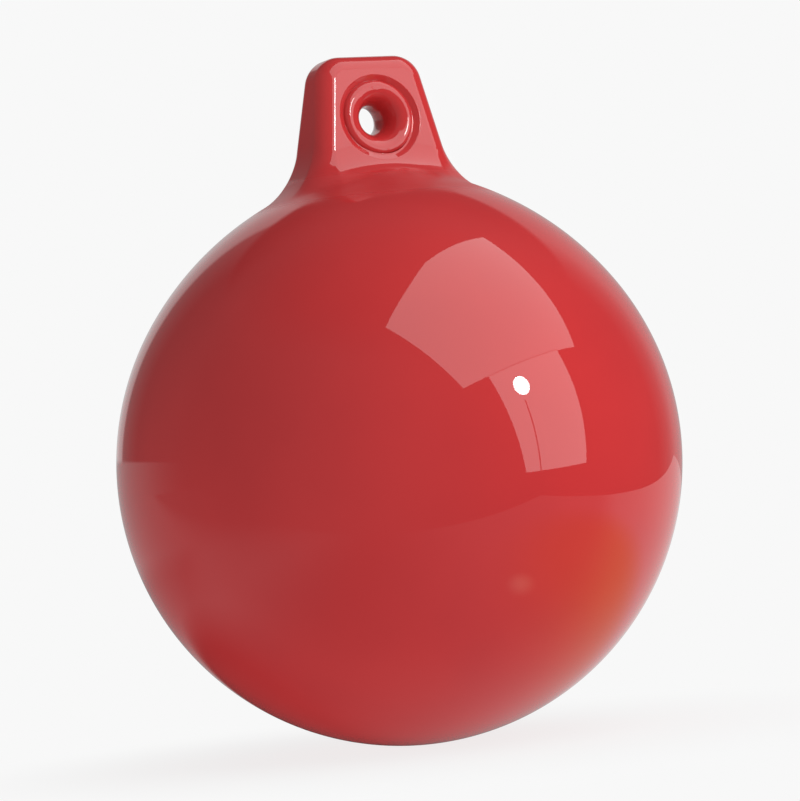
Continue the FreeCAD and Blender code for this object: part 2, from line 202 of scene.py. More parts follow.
# The lug's surface as a grid: columns run round the eye, and rows from the middle plane and the seam in to
# the groove. It starts coarse, over a rough arch in millimetres, and is spread out and doubled three times.
OVER_TOP, ACROSS_FRONT, ROWS = 20, 8, 10
ARCH_START, ARCH_END = -45, 225
ROUGH_ARCH = np.array(
    [(47, 90), (30, 101), (23, 119), (19, 139), (0, 144), (-19, 139), (-23, 119), (-30, 101), (-47, 90)]
)
PULL_AROUND = 0.1
FIRST_ROUNDS = 60
DOUBLED_ROUNDS = (30, 15, 8)


def shoulder_height(out):
    """The height of the shoulder's surface over the ball's centre, at a distance from the float's axis."""
    return math.sqrt(SHOULDER_RADIUS**2 - (out - SHOULDER_CENTRE[0]) ** 2) + SHOULDER_CENTRE[1]


def pin_edges(grid, over_top):
    """Holds the first row to the middle plane over the top, and to the seam across the front."""
    turn = math.pi * np.linspace(0, 1, len(grid) - over_top + 1)
    seam = np.stack([-np.cos(turn), -np.sin(turn), np.zeros_like(turn)], -1) * SEAM_RADIUS
    seam[:, 2] = shoulder_height(SEAM_RADIUS)
    grid[over_top:, 0] = seam[:-1]
    grid[0, 0] = seam[-1]
    grid[1:over_top, 0, 1] = 0
    return grid


def relax(grid, over_top, rounds):
    """Spreads the grid's points evenly over the surface."""
    for _ in range(rounds):
        around = (np.roll(grid, 1, 0) + np.roll(grid, -1, 0)) / 2
        even = grid.copy()
        even[:, 1:-1] = PULL_AROUND * around[:, 1:-1] + (1 - PULL_AROUND) / 2 * (grid[:, :-2] + grid[:, 2:])
        even[1:over_top, 0] = around[1:over_top, 0]
        ring = even[:, -1].copy()
        even = settle(pin_edges(even, over_top))
        ring[:, 1] -= float_skin(ring) / slope(float_skin, ring)[:, 1]
        even[:, -1] = ring
        grid = pin_edges(even, over_top)
    return grid


def on_groove_lip(points):
    """Moves points out or in to the circle where the groove's lip starts."""
    spokes = points[:, [0, 2]] - (0, EYE_HEIGHT)
    spokes *= GROOVE_START / np.linalg.norm(spokes, axis=1, keepdims=True)
    points[:, [0, 2]] = spokes + (0, EYE_HEIGHT)


def lug_front():
    """The front half of the lug's outside, from the middle plane and the seam in to the groove's lip."""
    over_top = OVER_TOP
    turn_over_top = np.linspace(ARCH_START, ARCH_END, over_top + 1)[:-1]
    turn_across = np.linspace(ARCH_END, ARCH_START + 360, ACROSS_FRONT + 1)[:-1]
    turn = np.radians(np.concatenate([turn_over_top, turn_across]))
    right, up = GROOVE_START * np.cos(turn), GROOVE_START * np.sin(turn) + EYE_HEIGHT
    lip = np.stack([right, np.full_like(turn, -LUG_HALF_THICKNESS), up], -1)
    arch = ROUGH_ARCH * MM
    along = np.concatenate([[0], np.cumsum(np.hypot(*np.diff(arch, axis=0).T))])
    places = np.linspace(0, along[-1], over_top + 1)[:-1]
    edge = np.zeros((over_top + ACROSS_FRONT, 1, 3))
    edge[:over_top, 0, 0] = np.interp(places, along, arch[:, 0])
    edge[:over_top, 0, 2] = np.interp(places, along, arch[:, 1])
    share = np.linspace(0, 1, ROWS + 1)[None, :, None]
    grid = pin_edges(edge, over_top) * (1 - share) + lip[:, None] * share
    grid = relax(grid, over_top, FIRST_ROUNDS)
    for rounds in DOUBLED_ROUNDS:
        columns = np.zeros((2 * len(grid),) + grid.shape[1:])
        columns[::2], columns[1::2] = grid, (grid + np.roll(grid, -1, 0)) / 2
        grid = np.zeros((len(columns), 2 * columns.shape[1] - 1, 3))
        grid[:, ::2], grid[:, 1::2] = columns, (columns[:, 1:] + columns[:, :-1]) / 2
        over_top *= 2
        on_groove_lip(grid[:, -1])
        grid = relax(grid, over_top, rounds)
    return grid


# Shares of the groove's slope, from its start to its floor: the rounded lip, the rounded toe, and the rows.
GROOVE_LIP = 0.16
GROOVE_TOE = 0.12
GROOVE_ROWS = (0.04, 0.08, 0.12, 0.16, 0.23, 0.31, 0.39, 0.47, 0.55, 0.62, 0.69, 0.77, 0.85, 0.93, 1)


def groove_depth(out):
    """The groove's depth at a distance from the eye's axis: a tight lip, a slope and a tight toe."""
    share = min((GROOVE_START - out) / (GROOVE_START - GROOVE_FLOOR_START), 1)
    steepness = 1 / (1 - GROOVE_LIP / 2 - GROOVE_TOE / 2)
    if share < GROOVE_LIP:
        return GROOVE_DEPTH * steepness * share**2 / (2 * GROOVE_LIP)
    if share < 1 - GROOVE_TOE:
        return GROOVE_DEPTH * steepness * (share - GROOVE_LIP / 2)
    return GROOVE_DEPTH * (1 - steepness * (1 - share) ** 2 / (2 * GROOVE_TOE))


def groove_rows(ring):
    """Rows from the groove's lip down its slope and across its floor, to just inside the ring."""
    spokes = (ring[:, [0, 2]] - (0, EYE_HEIGHT)) / GROOVE_START
    outs = [GROOVE_START + share * (GROOVE_FLOOR_START - GROOVE_START) for share in GROOVE_ROWS]
    rows = []
    for out in outs + [GROOVE_END]:
        nearer_axis = spokes * (GROOVE_START - out)
        reach = -ring[:, 1] + nearer_axis[:, 1] * math.tan(FACE_LEAN) - groove_depth(out)
        rows.append(np.stack([spokes[:, 0] * out, -reach, spokes[:, 1] * out + EYE_HEIGHT], -1))
    return np.stack(rows, 1)


def make_lug(material):
    """The lug: its front half from the grid, mirrored, joined through the bore and closed at the foot."""
    outside = lug_front()
    surface = np.concatenate([outside, groove_rows(outside[:, -1])], 1)
    surface[..., 2] += BALL_CENTRE.z
    columns, rows = surface.shape[:2]
    mesh = bmesh.new()
    bmesh.ops.create_grid(mesh, x_segments=columns, y_segments=rows - 1, size=1)
    for vert in mesh.verts:
        column = round((vert.co.x + 1) / 2 * columns) % columns
        vert.co = surface[column, round((vert.co.y + 1) / 2 * (rows - 1))]
    bmesh.ops.remove_doubles(mesh, verts=mesh.verts, dist=WELD)
    everything = mesh.verts[:] + mesh.edges[:] + mesh.faces[:]
    bmesh.ops.mirror(mesh, geom=everything, axis="Y", merge_dist=WELD)
    ball_top = BALL_CENTRE.z + BALL_RADIUS
    open_edges = [edge for edge in mesh.edges if edge.is_boundary]
    bore = [edge for edge in open_edges if edge.verts[0].co.z > ball_top]
    bmesh.ops.bridge_loops(mesh, edges=bore)
    foot = [edge for edge in open_edges if edge.verts[0].co.z < ball_top]
    skirt = bmesh.ops.extrude_edge_only(mesh, edges=foot)["geom"]
    bmesh.ops.translate(mesh, verts=picked(skirt, bmesh.types.BMVert), vec=(0, 0, -FOOT_DEPTH))
    rim = [edge for edge in picked(skirt, bmesh.types.BMEdge) if edge.is_boundary]
    bmesh.ops.contextual_create(mesh, geom=rim)
    return finish_piece(mesh, "lug_moulding", "lug", material)


# The steps of the profile's arcs: over the ball, over the shoulder, and in a short arc up to the seam.
OUTSIDE_STEPS = (150, 36)
INSIDE_STEPS = (60, 12)
SEAM_ARC = math.radians(0.4)
SEAM_STEPS = 4


def swept_arc(mesh, start, centre, angle, steps):
    """Carries a vertex round a centre in the XZ plane, from the bottom upwards, and gives the last one."""
    swept = bmesh.ops.spin(
        mesh, geom=[start], cent=centre, axis=(0, -1, 0), angle=angle, steps=steps, use_duplicate=False
    )
    return picked(swept["geom_last"], bmesh.types.BMVert)[0]


def make_ball(material):
    """The hollow skin: a closed profile of ball and shoulder, outside and inside, turned about the axis."""
    mesh = bmesh.new()
    shoulder_centre = BALL_CENTRE + Vector((SHOULDER_CENTRE[0], 0, SHOULDER_CENTRE[1]))
    rims = []
    for wall, (ball_steps, shoulder_steps) in ((0, OUTSIDE_STEPS), (SHELL_WALL, INSIDE_STEPS)):
        pole = mesh.verts.new(BALL_CENTRE - Vector((0, 0, BALL_RADIUS - wall)))
        join = swept_arc(mesh, pole, BALL_CENTRE, math.pi - SHOULDER_START, ball_steps)
        reach = math.asin((SEAM_RADIUS - SHOULDER_CENTRE[0]) / (SHOULDER_RADIUS - wall))
        near_seam = swept_arc(mesh, join, shoulder_centre, SHOULDER_START - reach - SEAM_ARC, shoulder_steps)
        rims.append(swept_arc(mesh, near_seam, shoulder_centre, SEAM_ARC, SEAM_STEPS))
    mesh.edges.new(rims)
    turned(mesh, BALL_CENTRE, (0, 0, 1))
    return finish_piece(mesh, "ball_skin", "ball_shell", material)


def turned_section(mesh, points, rounds, centre, axis):
    """Turns a closed section about an axis. rounds gives the rounding of the corners that have one."""
    verts = [mesh.verts.new(point) for point in points]
    for pair in zip(verts, verts[1:] + verts[:1]):
        mesh.edges.new(pair)
    bmesh.ops.edgenet_fill(mesh, edges=mesh.edges[:])
    for number, radius in rounds.items():
        bmesh.ops.bevel(
            mesh, geom=[verts[number]], affect="VERTICES", offset=radius, offset_type="OFFSET",
            segments=ROUND_SEGMENTS, profile=0.5, material=-1,
        )
    bmesh.ops.delete(mesh, geom=mesh.faces[:], context="FACES_ONLY")
    turned(mesh, centre, axis)


def make_eye_lining(material):
    """A soft ring at each mouth that rolls in to the waist: turned about the eye's axis, then leant over."""
    eye = BALL_CENTRE + Vector((0, 0, EYE_HEIGHT))
    section = [
        (0, WAIST_CORNER), (LUG_HALF_THICKNESS, RING_MOUTH), (LUG_HALF_THICKNESS, RING_OUTSIDE),
        (-LUG_HALF_THICKNESS, RING_OUTSIDE), (-LUG_HALF_THICKNESS, RING_MOUTH),
    ]
    points = [eye + Vector((0, along, out)) for along, out in section]
    curves = (WAIST_CURVE, RING_INNER_CURVE, RING_OUTER_CURVE, RING_OUTER_CURVE, RING_INNER_CURVE)
    mesh = bmesh.new()
    turned_section(mesh, points, dict(enumerate(curves)), eye, (0, 1, 0))
    for vert in mesh.verts:
        vert.co.y *= 1 - (vert.co.z - eye.z) * math.tan(RING_LEAN) / LUG_HALF_THICKNESS
    return finish_piece(mesh, "eye_lining", "eye_bush", material)


# The valve, drawn upright over the ball and then tilted to its place at the back.
VALVE_TILT = math.radians(62)
VALVE_RADIUS = 7 * MM
FLANGE_RADIUS = 9.6 * MM
FLANGE_HEIGHT = 1 * MM
FLANGE_DOME = BALL_RADIUS + FLANGE_HEIGHT
VALVE_DEPTH = 11 * MM
SHANK_ROUND = 1.2 * MM
FLANGE_ROUND = 0.6 * MM
SEAT_ROUND = 0.2 * MM
PLUG_RADIUS = 3.4 * MM
PLUG_LENGTH = 8 * MM
POINT_LENGTH = 1 * MM
POINT_TAPER = 0.8 * MM
HEAD_RADIUS = 5 * MM
HEAD_HEIGHT = 1.6 * MM
HEAD_SEGMENTS = 72
SLOT_WIDTH = 1.3 * MM
SLOT_DEPTH = 0.9 * MM
RIM_ROUND = 0.15 * MM
RIM_SEGMENTS = 3
RIM_ANGLE = math.radians(50)
RIM_BELOW_SLOT = 0.1 * MM


def tilted(mesh):
    """Tips a valve part from over the ball to its place at the back."""
    bmesh.ops.rotate(mesh, verts=mesh.verts, cent=BALL_CENTRE, matrix=Matrix.Rotation(-VALVE_TILT, 3, "X"))


def make_valve_body(material):
    """A rubber grommet: a shank through the skin and a domed flange that lies on it."""

    def on_sphere(radius, out):
        return math.sqrt(radius**2 - out**2)

    seat = FLANGE_DOME - HEAD_HEIGHT
    section = [
        (PLUG_RADIUS, BALL_RADIUS - VALVE_DEPTH),
        (VALVE_RADIUS, BALL_RADIUS - VALVE_DEPTH),
        (VALVE_RADIUS, on_sphere(BALL_RADIUS, VALVE_RADIUS)),
        (FLANGE_RADIUS, on_sphere(BALL_RADIUS, FLANGE_RADIUS)),
        (FLANGE_RADIUS, on_sphere(FLANGE_DOME, FLANGE_RADIUS)),
        (HEAD_RADIUS, on_sphere(FLANGE_DOME, HEAD_RADIUS)),
        (HEAD_RADIUS, seat),
        (PLUG_RADIUS, seat),
    ]
    mesh = bmesh.new()
    points = [BALL_CENTRE + Vector((out, 0, up)) for out, up in section]
    rounds = {1: SHANK_ROUND, 4: FLANGE_ROUND, 5: SEAT_ROUND}
    turned_section(mesh, points, rounds, BALL_CENTRE, (0, 0, 1))
    tilted(mesh)
    return finish_piece(mesh, "valve_grommet", "valve_body", material)


def make_valve_plug(material):
    """A screw plug: a slotted head flush with the grommet, and a shank."""
    slot_floor = BALL_CENTRE.z + FLANGE_DOME - SLOT_DEPTH
    mesh = bmesh.new()
    bmesh.ops.create_circle(
        mesh, cap_ends=True, segments=HEAD_SEGMENTS, radius=HEAD_RADIUS,
        matrix=Matrix.Translation((0, 0, slot_floor)),
    )
    for side in (-1, 1):
        bmesh.ops.bisect_plane(
            mesh, geom=mesh.verts[:] + mesh.edges[:] + mesh.faces[:], dist=WELD,
            plane_co=(side * SLOT_WIDTH / 2, 0, 0), plane_no=(1, 0, 0),
        )
    outline = [edge for edge in mesh.edges if edge.is_boundary]
    cheeks = [face for face in mesh.faces if abs(face.calc_center_median().x) > SLOT_WIDTH / 2]
    raised = bmesh.ops.extrude_face_region(mesh, geom=cheeks)["geom"]
    bmesh.ops.delete(mesh, geom=cheeks, context="FACES_ONLY")
    bmesh.ops.translate(mesh, verts=picked(raised, bmesh.types.BMVert), vec=(0, 0, SLOT_DEPTH))
    under_head = SLOT_DEPTH - HEAD_HEIGHT
    tip = under_head - PLUG_LENGTH
    down = (
        (HEAD_RADIUS, under_head),
        (PLUG_RADIUS, under_head),
        (PLUG_RADIUS, tip + POINT_LENGTH),
        (PLUG_RADIUS - POINT_TAPER, tip),
    )
    for radius, up in down:
        step = bmesh.ops.extrude_edge_only(mesh, edges=outline)["geom"]
        outline = [edge for edge in picked(step, bmesh.types.BMEdge) if edge.is_boundary]
        for vert in {vert for edge in outline for vert in edge.verts}:
            flat = Vector((vert.co.x, vert.co.y, 0)).normalized() * radius
            vert.co = flat + Vector((0, 0, slot_floor + up))
    bmesh.ops.contextual_create(mesh, geom=outline)
    bmesh.ops.recalc_face_normals(mesh, faces=mesh.faces)
    head_edges = [edge for edge in mesh.edges if edge.verts[0].co.z > slot_floor - RIM_BELOW_SLOT]
    rims = [edge for edge in head_edges if edge.calc_face_angle(0) > RIM_ANGLE]
    bmesh.ops.bevel(
        mesh, geom=rims, affect="EDGES", offset=RIM_ROUND, offset_type="OFFSET", segments=RIM_SEGMENTS,
        profile=0.5, material=-1, clamp_overlap=True,
    )
    tilted(mesh)
    return finish_piece(mesh, "valve_screw_plug", "valve_plug", material)


def linear(colour):
    """An sRGB hex colour as linear RGBA."""
    channels = [int(colour[place : place + 2], 16) / 255 for place in (1, 3, 5)]
    return [c / 12.92 if c <= 0.04045 else ((c + 0.055) / 1.055) ** 2.4 for c in channels] + [1]


def add(tree, kind, inputs=None, **settings):
    """Adds a node. settings name its properties or its inputs; inputs maps others to what they take.

    An input takes an output, a node for its first output, or a plain value.
    """
    node = tree.nodes.new("ShaderNode" + kind)
    for name, value in settings.items():
        if hasattr(node, name):
            setattr(node, name, value)
        else:
            node.inputs[name.replace("_", " ")].default_value = value
    for target, source in (inputs or {}).items():
        if isinstance(source, bpy.types.Node):
            source = source.outputs[0]
        if isinstance(source, bpy.types.NodeSocket):
            tree.links.new(source, node.inputs[target])
        else:
            node.inputs[target].default_value = source
    return node


GROWING = (0.0, 1.0)
FADING = (1.0, 0.0)


def smooth(limits, levels):
    """Map Range's settings for a smooth step between two limits, from the first level to the second."""
    return {
        "interpolation_type": "SMOOTHSTEP",
        "From_Min": limits[0], "From_Max": limits[1],
        "To_Min": levels[0], "To_Max": levels[1],
    }


def set_stops(colours, stops):
    """Gives a colour ramp its stops, from pairs of a place and a linear colour."""
    while len(colours.elements) < len(stops):
        colours.elements.new(0.5)
    for element, (place, colour) in zip(colours.elements, stops):
        element.position, element.color = place, colour


def new_material(name):
    """A material by name, with an empty node tree."""
    material = bpy.data.materials.new(name)
    material.use_nodes = True
    material.node_tree.nodes.clear()
    return material, material.node_tree


def spots_per_metre(size_mm):
    """A texture's scale for features of a size in millimetres."""
    return 1000 / size_mm


# The band of the crown round the lug's foot, where the mould is less polished and the skin shrank as it
# cooled: the heights and the reach over which it comes in and fades, and its roughness.
CROWN_LOW = (BALL_CENTRE.z + 84 * MM, BALL_CENTRE.z + 92 * MM)
CROWN_HIGH = (BALL_CENTRE.z + 100 * MM, BALL_CENTRE.z + 104 * MM)
CROWN_REACH = (38 * MM, 50 * MM)
CROWN_ROUGHNESS = 0.36


def moulded_pvc():
    """Plasticised PVC cast against a polished mould: a deep red with a mirror gloss and a slow ripple."""
    material, tree = new_material("cast_gloss_pvc_red")
    place = add(tree, "TexCoord").outputs["Object"]
    cloud = add(tree, "TexNoise", {"Vector": place}, Scale=spots_per_metre(60), Detail=3.0, Roughness=0.5)
    tint = add(tree, "ValToRGB", {"Fac": cloud})
    set_stops(tint.color_ramp, ((0.3, linear("#BC3032")), (0.7, linear("#C43334"))))
    haze = add(tree, "TexNoise", {"Vector": place}, Scale=spots_per_metre(22), Detail=4.0, Roughness=0.6)
    gloss = add(tree, "MapRange", {"Value": haze}, From_Min=0.35, From_Max=0.75, To_Min=0.012, To_Max=0.03)
    ripple = add(tree, "TexNoise", {"Vector": place}, Scale=spots_per_metre(28), Detail=1.0, Roughness=0.4)
    slow = add(tree, "Bump", {"Height": ripple}, Strength=1.0, Distance=0.03 * MM)

    parts = add(tree, "SeparateXYZ", {"Vector": place}).outputs
    rise = add(tree, "MapRange", {"Value": parts["Z"]}, **smooth(CROWN_LOW, GROWING))
    fall = add(tree, "MapRange", {"Value": parts["Z"]}, **smooth(CROWN_HIGH, FADING))
    level = add(tree, "CombineXYZ", {"X": parts["X"], "Y": parts["Y"]})
    out = add(tree, "VectorMath", {0: level}, operation="LENGTH").outputs["Value"]
    close = add(tree, "MapRange", {"Value": out}, **smooth(CROWN_REACH, FADING))
    band = add(tree, "Math", {0: rise, 1: fall}, operation="MULTIPLY")
    near_foot = add(tree, "Math", {0: band, 1: close}, operation="MULTIPLY")
    finish = add(tree, "Mix", {"Factor": near_foot, "A": gloss, "B": CROWN_ROUGHNESS}, data_type="FLOAT")
    wrinkle = add(tree, "TexNoise", {"Vector": place}, Scale=spots_per_metre(9), Detail=2.0, Roughness=0.5)
    relief = add(tree, "Bump", {"Height": wrinkle, "Strength": near_foot, "Normal": slow}, Distance=0.12 * MM)

    skin = add(tree, "BsdfPrincipled", {"Base Color": tint, "Roughness": finish, "Normal": relief}, IOR=1.53)
    add(tree, "OutputMaterial", {"Surface": skin})
    return material


def valve_rubber():
    """Moulded black rubber: a dull satin skin with fine pits."""
    material, tree = new_material("moulded_black_rubber")
    place = add(tree, "TexCoord").outputs["Object"]
    bloom = add(tree, "TexNoise", {"Vector": place}, Scale=spots_per_metre(4), Detail=4.0, Roughness=0.6)
    tint = add(tree, "ValToRGB", {"Fac": bloom})
    set_stops(tint.color_ramp, ((0.0, linear("#242323")), (1.0, linear("#33312F"))))
    pits = add(tree, "TexNoise", {"Vector": place}, Scale=spots_per_metre(0.5), Detail=2.0)
    relief = add(tree, "Bump", {"Height": pits}, Strength=0.6, Distance=0.05 * MM)
    skin = add(tree, "BsdfPrincipled", {"Base Color": tint, "Normal": relief}, Roughness=0.55, IOR=1.5)
    add(tree, "OutputMaterial", {"Surface": skin})
    return material


def valve_nylon():
    """Injection-moulded grey nylon: semi-matt, with a faint cloudiness and rubbed spots."""
    material, tree = new_material("moulded_grey_nylon")
    place = add(tree, "TexCoord").outputs["Object"]
    cloud = add(tree, "TexNoise", {"Vector": place}, Scale=spots_per_metre(3), Detail=4.0, Roughness=0.6)
    tint = add(tree, "ValToRGB", {"Fac": cloud})
    set_stops(tint.color_ramp, ((0.0, linear("#9A9A9B")), (1.0, linear("#A9A8A5"))))
    rubbed = add(tree, "MapRange", {"Value": cloud}, From_Min=0.3, From_Max=0.7, To_Min=0.32, To_Max=0.45)
    relief = add(tree, "Bump", {"Height": cloud}, Strength=0.4, Distance=0.03 * MM)
    skin = add(tree, "BsdfPrincipled", {"Base Color": tint, "Roughness": rubbed, "Normal": relief}, IOR=1.53)
    add(tree, "OutputMaterial", {"Surface": skin})
    return material


# The camera: nearly level, round to the float's left, and turned about its line of sight so the float leans.
CAMERA_AZIMUTH = math.radians(-26.1)
CAMERA_RISE = math.radians(-0.5)
CAMERA_DISTANCE = 1.2
CAMERA_ROLL = math.radians(5.53)
AIM_ABOVE = math.radians(1.0463)
AIM_RIGHT = math.radians(0.0102)
LENS_MM = 152.396
SENSOR_MM = 36

toward = Vector((
    math.sin(CAMERA_AZIMUTH) * math.cos(CAMERA_RISE),
    -math.cos(CAMERA_AZIMUTH) * math.cos(CAMERA_RISE),
    math.sin(CAMERA_RISE),
))
studio = (-toward).to_track_quat("-Z", "Y") @ Quaternion((0, 0, 1), -CAMERA_ROLL)
ball_in_view = Vector((-math.tan(AIM_RIGHT), -math.tan(AIM_ABOVE), -1))
aim = Vector((0, 0, -1)).rotation_difference(ball_in_view)
camera_data = bpy.data.cameras.new("camera")
camera_data.sensor_fit = "HORIZONTAL"
camera_data.sensor_width = SENSOR_MM
camera_data.lens = LENS_MM
camera = bpy.data.objects.new("camera", camera_data)
camera.matrix_world = (studio @ aim.inverted()).to_matrix().to_4x4()
camera.location = BALL_CENTRE + toward * CAMERA_DISTANCE
root.objects.link(camera)
bpy.context.scene.camera = camera


def from_camera(right, up, near):
    """A point given from the ball's centre along the camera's right, up and towards it."""
    return BALL_CENTRE + studio @ Vector((right, up, near))


def softbox(name, centre, along, across, strength, crown=None):
    """A flat glowing panel, seen in reflections only. crown moves a point of its upper edge out."""
    mesh = bmesh.new()
    bmesh.ops.create_grid(mesh, x_segments=1, y_segments=1, size=0.5)
    if crown:
        upper = [edge for edge in mesh.edges if all(vert.co.y < 0 for vert in edge.verts)]
        added = bmesh.ops.subdivide_edges(mesh, edges=upper, cuts=1)["geom_inner"]
        picked(added, bmesh.types.BMVert)[0].co.xy = crown
    for vert in mesh.verts:
        place = Vector(centre) + Vector(along) * vert.co.x + Vector(across) * vert.co.y
        vert.co = from_camera(*place)
    material, tree = new_material(name)
    glow = add(tree, "Emission", Strength=strength)
    add(tree, "OutputMaterial", {"Surface": glow})
    panel = as_object(mesh, name, material)
    panel.visible_camera = False


def bulb(name, place, radius, radiance, pieces):
    """A small bare bulb: a white point in the gloss of the given pieces."""
    light = bpy.data.lights.new(name, "AREA")
    light.shape, light.size = "DISK", 2 * radius
    light.energy = radiance * math.pi**2 * radius**2
    lamp = bpy.data.objects.new(name, light)
    lamp.location = from_camera(*place)
    lamp.rotation_euler = (BALL_CENTRE - lamp.location).to_track_quat("-Z", "Y").to_euler()
    lamp.visible_camera = False
    root.objects.link(lamp)
    lit = bpy.data.collections.new(name)
    for piece in pieces:
        lit.objects.link(piece)
    lamp.light_linking.receiver_collection = lit


# The colour of the backdrop, and how much light the table sends up to what isn't glossy: a painted glow of
# the table, which the world also gives below the horizon.
PALE = linear("#F8F8F8")
BOUNCE = 0.95

# The table: its corners, to the right of the float and away from the camera.
TABLE_CORNERS = ((0.29, -0.24), (1.75, 2.5), (-3.0, 2.5), (-3.0, -0.24))
BOARD_COLOUR = linear("#F4F4F4")
CONTACT_REACH = (0.06, 0.2)
CONTACT_SHARE = 0.14

# The table as the gloss shows it, all painted light: its painted brightness and the places over which that
# changes, in the same directions, with the float's painted shade, a small painted glint in front of the float
# and a painted warm reflection to its right.
TABLE_LIGHT_MIDDLE = (-0.06, 0.12)
TABLE_LIGHT_LEFT = 0.46
TABLE_LIGHT_RIGHT = 0.76
LEFT_DEPTH = (-0.06, 0.03)
LEFT_SHARES = (1.1, 0.66)
LEFT_END = (-0.38, -0.25)
RIGHT_DEPTH = (-0.09, -0.01)
RIGHT_SHARES = (0.52, 1.0)
SIDES_MEET = (-0.17, -0.04)
CORNER_SLOPE = 0.6
CORNER_REACH = (-0.44, -0.2)
PAST_CORNER = 0.28
SHADE_PLACE = (-0.06, 0.04, FLOOR)
SHADE_REACH = (0.06, 0.13)
SHADE_SHARES = (0.12, 1.0)
GLINT_PLACE = (0.082, -0.105, FLOOR)
GLINT_REACH = (0.001, 0.016)
GLINT_LEVELS = (0.7, 0.0)
WARM_LIGHT_PLACE = (0.17, -0.06, FLOOR)
WARM_LIGHT_REACH = (0.04, 0.15)
WARM_LIGHT_COLOURS = ((0.0, linear("#FFFFFF")), (1.0, linear("#FFE884")))


def board_with_painted_light():
    """Matt paint on board with painted light: flat and pale to the camera, while the gloss sees a painted
    reflection, brighter to the right of the float with a painted shade under it, and the rest an even glow.
    """
    material, tree = new_material("pale_board_painted_light")
    material.cycles.emission_sampling = "NONE"
    place = add(tree, "TexCoord").outputs["Object"]
    flat = add(tree, "Mapping", {"Vector": place}, vector_type="POINT", Rotation=(0, 0, -CAMERA_AZIMUTH))
    parts = add(tree, "SeparateXYZ", {"Vector": flat}).outputs
    right, away = parts["X"], parts["Y"]

    # Painted light in the table's reflection: brighter to the right of the float, and changing with depth on
    # each side.
    lit = add(tree, "MapRange", {"Value": right}, **smooth(TABLE_LIGHT_MIDDLE, (TABLE_LIGHT_LEFT, TABLE_LIGHT_RIGHT)))
    left_depth = add(tree, "MapRange", {"Value": away}, **smooth(LEFT_DEPTH, LEFT_SHARES))
    left_end = add(tree, "MapRange", {"Value": right}, **smooth(LEFT_END, FADING))
    left_share = add(tree, "Mix", {"Factor": left_end, "A": left_depth, "B": 1.0}, data_type="FLOAT")
    right_share = add(tree, "MapRange", {"Value": away}, **smooth(RIGHT_DEPTH, RIGHT_SHARES))
    on_left = add(tree, "MapRange", {"Value": right}, **smooth(SIDES_MEET, FADING))
    depth = add(tree, "Mix", {"Factor": on_left, "A": right_share, "B": left_share}, data_type="FLOAT")
    # A painted shade of the float, darkening the table's reflection beneath and behind it.
    from_shade = add(tree, "VectorMath", {0: flat, 1: SHADE_PLACE}, operation="DISTANCE").outputs["Value"]
    shade = add(tree, "MapRange", {"Value": from_shade}, **smooth(SHADE_REACH, SHADE_SHARES))
    shaded_light = add(tree, "Math", {0: lit, 1: shade}, operation="MULTIPLY")
    on_table = add(tree, "Math", {0: shaded_light, 1: depth}, operation="MULTIPLY")
    # A small painted glint on the table's reflection, in front of the float.
    from_glint = add(tree, "VectorMath", {0: flat, 1: GLINT_PLACE}, operation="DISTANCE").outputs["Value"]
    glint = add(tree, "MapRange", {"Value": from_glint}, **smooth(GLINT_REACH, GLINT_LEVELS))
    with_glint = add(tree, "Math", {0: on_table, 1: glint}, operation="ADD")
    edge = add(tree, "Math", {0: right, 1: CORNER_SLOPE, 2: away}, operation="MULTIPLY_ADD")
    inside_corner = add(tree, "MapRange", {"Value": edge}, **smooth(CORNER_REACH, GROWING))
    level = add(tree, "Mix", {"Factor": inside_corner, "A": PAST_CORNER, "B": with_glint}, data_type="FLOAT")
    # A painted warm reflection on the table, to the float's right: the tint of the painted light there.
    from_warm_light = add(tree, "VectorMath", {0: flat, 1: WARM_LIGHT_PLACE}, operation="DISTANCE").outputs["Value"]
    warm_light = add(tree, "MapRange", {"Value": from_warm_light}, **smooth(WARM_LIGHT_REACH, FADING))
    tint = add(tree, "ValToRGB", {"Fac": warm_light})
    set_stops(tint.color_ramp, WARM_LIGHT_COLOURS)
    mirrored = add(tree, "Emission", {"Strength": level, "Color": tint})
    # The table glows evenly with this painted light for what isn't glossy.
    bounce = add(tree, "Emission", Strength=BOUNCE)

    from_float = add(tree, "VectorMath", {0: flat}, operation="LENGTH").outputs["Value"]
    contact = add(tree, "MapRange", {"Value": from_float}, **smooth(CONTACT_REACH, (CONTACT_SHARE, 0.0)))
    plain = add(tree, "Emission", Color=PALE, Strength=1.0)
    board = add(tree, "BsdfDiffuse", Color=BOARD_COLOUR)
    seen = add(tree, "MixShader", {0: contact, 1: plain, 2: board})
    ray = add(tree, "LightPath").outputs
    to_float = add(tree, "MixShader", {0: ray["Is Glossy Ray"], 1: bounce, 2: mirrored})
    surface = add(tree, "MixShader", {0: ray["Is Camera Ray"], 1: to_float, 2: seen})
    add(tree, "OutputMaterial", {"Surface": surface})
    return material


def make_floor():
    """A pale lit table: it shows the backdrop's colour to the camera, less a soft shadow near the float."""
    mesh = bmesh.new()
    turn = Matrix.Rotation(CAMERA_AZIMUTH, 3, "Z")
    table = [mesh.verts.new(turn @ Vector((right, away, FLOOR))) for right, away in TABLE_CORNERS]
    bmesh.ops.contextual_create(mesh, geom=table)
    as_object(mesh, "floor", board_with_painted_light())


# The walls as the gloss shows them: brightness by compass angle, 0 on the camera's side and 90 to its right.
ROUND_THE_ROOM = (
    (-180, 0.5), (-172, 0.62), (-165, 0.75), (-153, 0.68), (-150.5, 0.24), (-132, 0.14), (-105, 0.24),
    (-40, 0.30), (0, 0.26), (30, 0.20), (70, 0.09), (128, 0.08), (140, 0.24), (150, 0.45), (172, 0.48),
    (180, 0.5),
)

